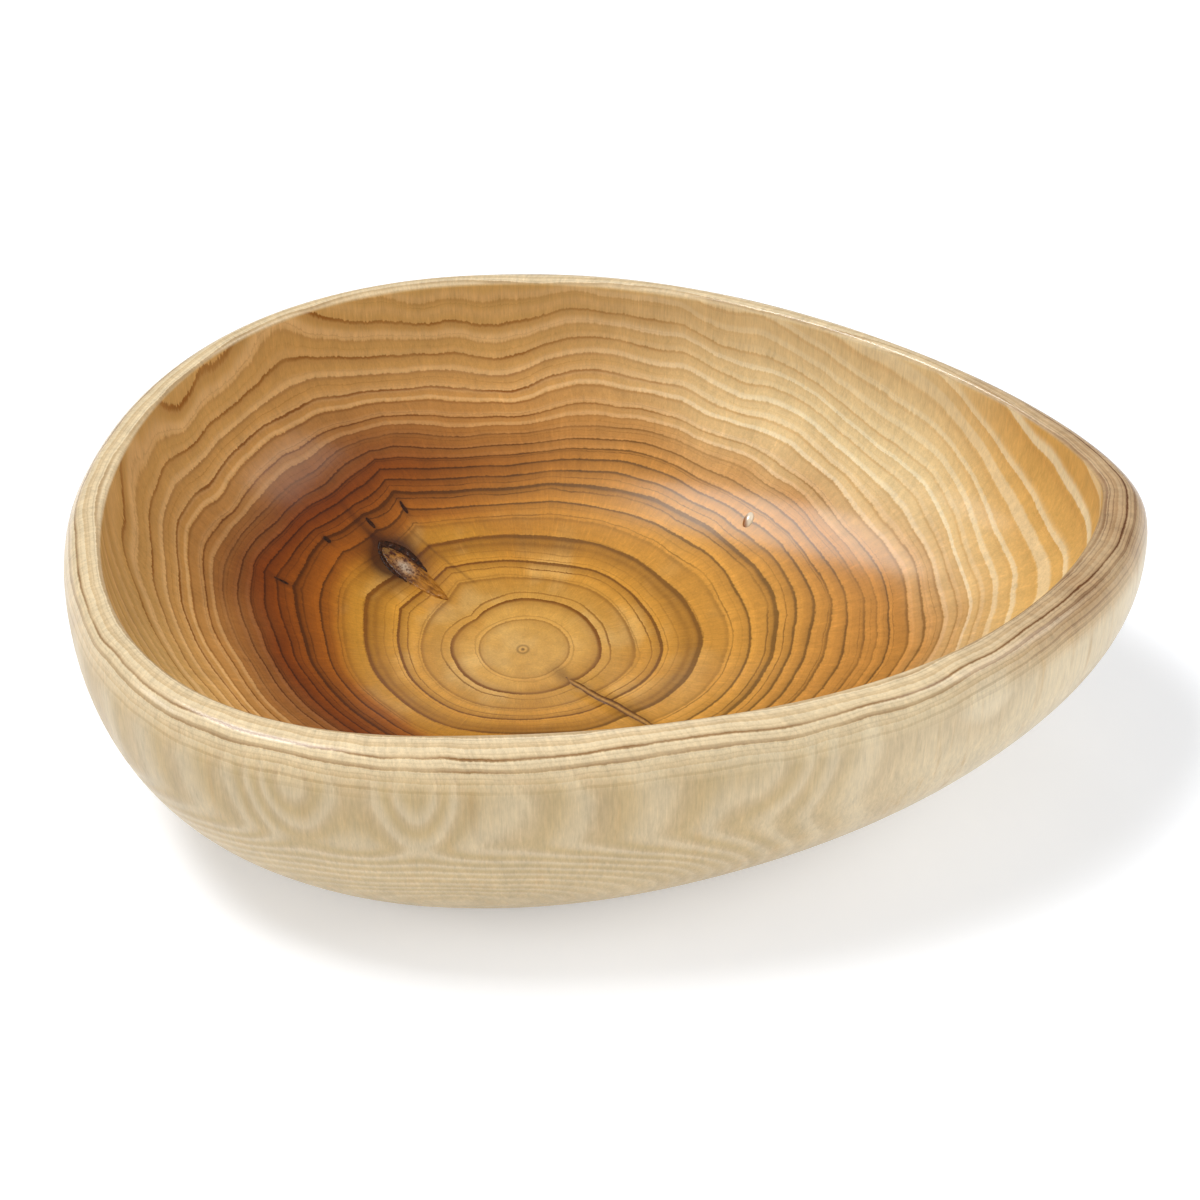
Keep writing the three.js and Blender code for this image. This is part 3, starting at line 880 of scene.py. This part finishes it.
# Colours of the dead branch, its bark, the filler and the bead
DEAD_BROWN = tone(116, 70, 16)
DEAD_TAN = tone(176, 118, 40)
DEAD_HEAD = tone(122, 88, 46)
DEAD_EDGE = tone(66, 36, 14)
DEAD_POCKET = tone(72, 36, 20)
DEAD_FLAKE = tone(182, 168, 150)
BARK_BLACK = tone(26, 14, 8)
BARK_BROWN = tone(74, 40, 20)
FILLER_DARK = tone(70, 38, 14)
FILLER_BROWN = tone(112, 68, 26)
FILLER_RIDGE = tone(196, 146, 74)
# The bead's brown is painted shade at its left edge, and its near-white is a painted highlight at its right.
BEAD_PAINTED_SHADE = tone(164, 104, 50)
BEAD_PAINTED_HIGHLIGHT = tone(255, 244, 222)

# Where those colours change, in millimetres from the pith along a line and sideways from it
HEAD_REACH = (48, 52)
DARK_EDGE_REACH = (38, 43)
DARK_EDGE_ASIDE = (1.6, 3.0)
POCKET_REACH = (36, 42)
GREY_SPOT = {"along": 44.5, "long": 2.8, "across": 0.3, "wide": 1.5, "strength": 1}
RIDGE = {"across": -0.15, "wide": 0.5, "reach": (15, 20)}
# Where the bead's painted shade gives way to its painted highlight, in millimetres along x from the bead's
# middle
BEAD_SHADE_TO_HIGHLIGHT = (-1.3, 0.3)


def dead_wood_finish():
    """The dead branch: tan at its head, grey and flaky in the middle, streaked towards the pith."""
    finish = Finish("dead_wood")
    x, y, z = finish.place()
    along, across = grain_line(x, y, KNOT_AZIMUTH)
    streak = finish.noise(finish.vector(along / 5, across * 1.3, z), 2.0, 0.6)
    flake = finish.noise(finish.vector(along / 1.6, across / 1.1, z), 3.0, 0.65)
    edge = along.rise(*DARK_EDGE_REACH) * across.math("ABSOLUTE").rise(*DARK_EDGE_ASIDE)
    pocket = flake.rise(0.15, -0.25) * along.rise(*POCKET_REACH)
    grey = spot(along, across, GREY_SPOT) * flake.rise(-0.35, 0.2)
    colour = finish.mix(streak.rise(-0.4, 0.4), DEAD_BROWN, DEAD_TAN)
    colour = finish.mix(along.rise(*HEAD_REACH), colour, DEAD_HEAD)
    colour = finish.mix(edge, colour, DEAD_EDGE)
    colour = finish.mix(pocket, colour, DEAD_POCKET)
    colour = finish.mix(grey, colour, DEAD_FLAKE)
    relief = flake + 0.5 * streak
    return finish.lacquered(colour, 0.5 + 0.1 * flake, relief, DEAD_WOOD_RELIEF, LACQUER_ON_DEAD_WOOD)


def bark_finish():
    """Black-brown bark that the trunk closed round the dead branch, and the pin knots."""
    finish = Finish("bark")
    x, y, z = finish.place()
    crumb = finish.noise(finish.vector(x * 1.2, y * 1.2, z * 1.2), 3.0, 0.65)
    colour = finish.mix(crumb.rise(-0.4, 0.6), BARK_BLACK, BARK_BROWN)
    return finish.lacquered(colour, 0.6 + 0.1 * crumb, crumb, BARK_RELIEF, LACQUER_ON_BARK)


def filler_finish():
    """Wood dust set in resin: a pale ridge between two dark borders, smudged dark at its inner end."""
    finish = Finish("crack_filler")
    x, y, z = finish.place()
    along, across = grain_line(x, y, CRACK_AZIMUTH)
    across = across - crack_wobble(along)
    dust = finish.noise(finish.vector(x * 1.5, y * 1.5, z * 1.5), 3.0, 0.6)
    ridge = (across - RIDGE["across"]).bell(RIDGE["wide"]) * along.rise(*RIDGE["reach"])
    colour = finish.mix(dust.rise(-0.4, 0.5), FILLER_DARK, FILLER_BROWN)
    colour = finish.mix(ridge * (0.8 + 0.4 * dust), colour, FILLER_RIDGE)
    return finish.lacquered(colour, 0.5 + 0.1 * dust, ridge + 0.4 * dust, FILLER_RELIEF, LACQUER)


def bead_finish():
    """A bead of lacquer, with painted shade in brown at its left side and a painted highlight in near-white
    at its right.
    """
    finish = Finish("lacquer_bead")
    x, y, z = finish.place()
    swirl = finish.noise(finish.vector(x * 0.9, y * 0.9, z * 0.9), 1.0)
    middle = from_pith(BEAD_AZIMUTH, BEAD_DISTANCE)[0] / MM
    # The share of the painted highlight, which takes over from the painted shade towards the bead's right
    # side.
    clear = (x - middle + 0.3 * swirl).rise(*BEAD_SHADE_TO_HIGHLIGHT)
    sockets = {
        "Base Color": finish.mix(clear, BEAD_PAINTED_SHADE, BEAD_PAINTED_HIGHLIGHT),
        "Roughness": 0.04 + 0.02 * swirl,
        "IOR": 1.5,
        "Transmission Weight": 0.2,
        "Coat Weight": 1.0,
        "Coat Roughness": 0.12,
    }
    return finish.close(finish.node("ShaderNodeBsdfPrincipled", None, sockets))


def sliver_row(plan, lift, size, proud, roughness, seed):
    """A ring of points round a sliver set in the hollow: crowned on top, sunk at its border."""
    crown = np.where(lift > 0, proud + BORDER_SINK, INLAY_DEPTH) * lift * size
    row = level(plan, carved_height(plan) - BORDER_SINK + crown)
    row[:, 2] += surface_noise(row, FLAKE_SIZE, seed) * roughness * lift.clip(0)
    return row


def inlay_steps(start, end):
    """Distances along a sliver, closer together towards its ends."""
    angle = np.linspace(INLAY_END_ANGLE, math.pi - INLAY_END_ANGLE, INLAY_STEPS)
    return between(start, end, (1 - np.cos(angle)) / 2)


def inlay(node, azimuth, distances, halves, surface, material, stray=0):
    """A closed sliver set in the hollow along a line from the pith, with half its width at each distance."""
    forward, sideways = line_axes(azimuth)
    turn = np.linspace(0, 2 * math.pi, INLAY_SIDES, endpoint=False)
    rows = []
    for distance, half, aside in zip(distances, halves, np.broadcast_to(stray, len(distances))):
        across = half * np.cos(turn) + aside
        plan = PITH + distance * forward + across[:, None] * sideways
        size = min(1.0, half / (2 * surface["proud"]))
        rows.append(sliver_row(plan, np.sin(turn), size, **surface))
    points, faces = skin_rows(rows)
    return new_piece(f"{node}_inlay", points, faces, material, [node])


def make_bark(material):
    """The bark that lies round the outer half of the dead knot, as a crumbly roll along its border."""
    forward, sideways = line_axes(KNOT_AZIMUTH)
    way = np.linspace(-1, 1, BARK_STEPS)
    distance = between(KNOT_END, BARK_START, np.abs(way) ** BARK_CLOSENESS)
    side = np.sign(way) * knot_half_width(distance)
    spine = PITH + np.outer(distance, forward) + np.outer(side, sideways)
    outward = unit(np.gradient(spine, axis=0)) @ np.array(((0, -1), (1, 0)))
    taper = (1 - np.abs(way) ** BARK_TAPER) * np.where(way < 0, BARK_THICK_SIDE, BARK_THIN_SIDE)
    turn = np.linspace(0, 2 * math.pi, INLAY_SIDES, endpoint=False)
    rows = []
    for middle, aside, thick in zip(spine, outward, taper.clip(BARK_THINNEST)):
        plan = middle + (BARK_SHIFT - np.cos(turn))[:, None] * aside * BARK_HALF_WIDTH * thick
        rows.append(sliver_row(plan, np.sin(turn), thick, **BARK_SURFACE))
    points, faces = skin_rows(rows)
    return new_piece("knot_bark_inlay", points, faces, material, ["knot_bark"])


def rim_way(rows):
    """How far each row lies across the rim: 1 up to its outer edge, falling to 0 at its inner edge."""
    first = FOOT_ROWS + WALL_ROWS - 1
    last = first + RIM_ROWS + EDGE_ROWS
    steps = [np.linalg.norm(rows[row + 1] - rows[row], axis=1).mean() for row in range(first, last)]
    way = np.ones(len(rows))
    way[first + 1:last + 1] = 1 - np.cumsum(steps) / sum(steps)
    way[last:] = 0
    return way


def make_bowl(material):
    """The carved body, with its way across the rim kept at every point for the wood's finish."""
    rows = bowl_rows()
    points, faces = skin_rows(rows)
    piece = new_piece("bowl_body_carved", carve(points), faces, material, ["bowl_body"])
    way = np.repeat(rim_way(rows), len(rows[0]))
    kept = piece.data.attributes.new("rim_way", "FLOAT", "POINT")
    kept.data.foreach_set("value", np.concatenate(([1], way, [0])))


def make_bead(material):
    """A drop of lacquer that ran and set on the wall."""
    centre = from_pith(BEAD_AZIMUTH, BEAD_DISTANCE)
    turn = np.linspace(0, 2 * math.pi, BEAD_SIDES, endpoint=False)
    outline = np.outer(np.cos(turn), BEAD_ACROSS) * BEAD_WIDTH / 2
    outline += np.outer(np.sin(turn), BEAD_DOWN) * BEAD_LENGTH / 2
    rows = []
    for lift in np.linspace(*BEAD_LIFTS, BEAD_ROWS):
        plan = centre + math.sqrt(1 - lift * lift) * outline
        rows.append(level(plan, hollow_height(plan) + lift * BEAD_PROUD))
    points, faces = skin_rows(rows)
    return new_piece("lacquer_bead_drop", points, faces, material, ["lacquer_bead"])


# The photograph's view, in metres and degrees
CAMERA_TARGET = Vector((-2.3 * MM, -2.6 * MM, 40 * MM))
CAMERA_ELEVATION = 42
CAMERA_DISTANCE = 0.7
CAMERA_LENS = 79.2
CAMERA_SENSOR = 36

# The studio: a wide white table, and lamps that each light what faces them to a level
TABLE_HALF = 4.0
TABLE_WHITES = (tone(238, 241, 246), tone(241, 244, 249))
TABLE_LIFT = 0.3
SURROUNDINGS = {"colour": tone(250, 250, 252), "level": 0.27}
LAMP_DISTANCE = 2.2
LAMPS = (
    {"name": "softbox", "direction": (-0.38, 0.06, 0.92), "size": 0.7, "level": 0.58, "mirrored": True},
    {"name": "back_lamp", "direction": (0, 0.72, 0.69), "size": 0.4, "level": 0.02, "mirrored": True},
    {"name": "left_lamp", "direction": (-0.87, -0.15, 0.45), "size": 0.5, "level": 0.1, "mirrored": True},
    {"name": "right_fill", "direction": (0.75, -0.16, 0.64), "size": 1.1, "level": 0.25, "mirrored": True},
    {"name": "front_fill", "direction": (0.2, -0.8, 0.55), "size": 1.6, "level": 0.24, "mirrored": False},
)


def make_camera():
    """The photograph's view, square to the bowl's length."""
    elevation = math.radians(CAMERA_ELEVATION)
    away = Vector((0, -math.cos(elevation), math.sin(elevation)))
    lens = bpy.data.cameras.new("camera")
    lens.lens = CAMERA_LENS
    lens.sensor_width = CAMERA_SENSOR
    camera = bpy.data.objects.new("camera", lens)
    camera.location = CAMERA_TARGET + CAMERA_DISTANCE * away
    camera.rotation_euler = (math.pi / 2 - elevation, 0, 0)
    bpy.context.scene.collection.objects.link(camera)
    bpy.context.scene.camera = camera


def make_lamp(name, direction, size, level, mirrored):
    """A square lamp that lights what faces it to a level where 1 shows a colour as written."""
    lamp = bpy.data.lights.new(name, "AREA")
    lamp.size = size
    lamp.energy = level * (math.pi * LAMP_DISTANCE) ** 2
    piece = bpy.data.objects.new(name, lamp)
    piece.location = Vector(direction).normalized() * LAMP_DISTANCE
    piece.rotation_mode = "QUATERNION"
    piece.rotation_quaternion = piece.location.to_track_quat("Z", "Y")
    piece.visible_glossy = mirrored
    bpy.context.scene.collection.objects.link(piece)


def table_finish():
    """A white table, lifted to the background's white where the camera or a reflection sees it."""
    table = Finish("white_table")
    x, y, z = table.place()
    speck = table.noise(table.vector(x / 60, y / 60, z), 2.0)
    white = table.mix(speck.rise(-0.6, 0.6), *TABLE_WHITES)
    plain = table.node("ShaderNodeBsdfDiffuse", None, {"Color": white})
    lift = table.node("ShaderNodeEmission", None, {"Color": tone(255, 255, 255), "Strength": TABLE_LIFT})
    lit = table.node("ShaderNodeAddShader", None, {0: plain, 1: lift})
    camera = table.node("ShaderNodeLightPath", output="Is Camera Ray")
    glossy = table.node("ShaderNodeLightPath", output="Is Glossy Ray")
    through = table.node("ShaderNodeLightPath", output="Is Transmission Ray")
    seen = camera.math("MAXIMUM", glossy.math("MAXIMUM", through))
    return table.close(table.node("ShaderNodeMixShader", None, {"Fac": seen, 1: plain, 2: lit}))


def make_studio():
    """A white table in white surroundings, with soft lamps above, behind, in front and on both sides."""
    half = TABLE_HALF
    corners = [(-half, -half, 0), (half, -half, 0), (half, half, 0), (-half, half, 0)]
    mesh = bpy.data.meshes.new("table_top")
    mesh.from_pydata(corners, [], [(0, 1, 2, 3)])
    mesh.materials.append(table_finish())
    top = bpy.data.objects.new("table_top", mesh)
    bpy.context.scene.collection.objects.link(top)

    world = bpy.data.worlds.new("studio")
    world.use_nodes = True
    background = world.node_tree.nodes["Background"]
    background.inputs["Color"].default_value = SURROUNDINGS["colour"]
    background.inputs["Strength"].default_value = SURROUNDINGS["level"]
    bpy.context.scene.world = world
    for lamp in LAMPS:
        make_lamp(**lamp)
    bpy.context.scene.view_settings.view_transform = "Standard"


make_camera()
make_studio()
make_bowl(Wood().finished())
dead_wood = dead_wood_finish()
bark = bark_finish()
make_bark(bark)
steps = inlay_steps(KNOT_START, KNOT_END)
inlay("dead_knot", KNOT_AZIMUTH, steps, knot_half_width(steps), KNOT_SURFACE, dead_wood)
steps = inlay_steps(CRACK_START, CRACK_END)
wobble = crack_wobble(steps / MM) * MM
filler = filler_finish()
inlay("crack_fill", CRACK_AZIMUTH, steps, crack_half_width(steps), CRACK_SURFACE, filler, wobble)
for number, pin in enumerate(PIN_KNOTS, 1):
    steps = inlay_steps(pin["distance"] - pin["length"] / 2, pin["distance"] + pin["length"] / 2)
    surface = {**PIN_SURFACE, "seed": number * PIN_SEED}
    inlay(f"pin_knot_{number}", pin["azimuth"], steps, pin_half_width(steps, pin), surface, bark)
make_bead(bead_finish())
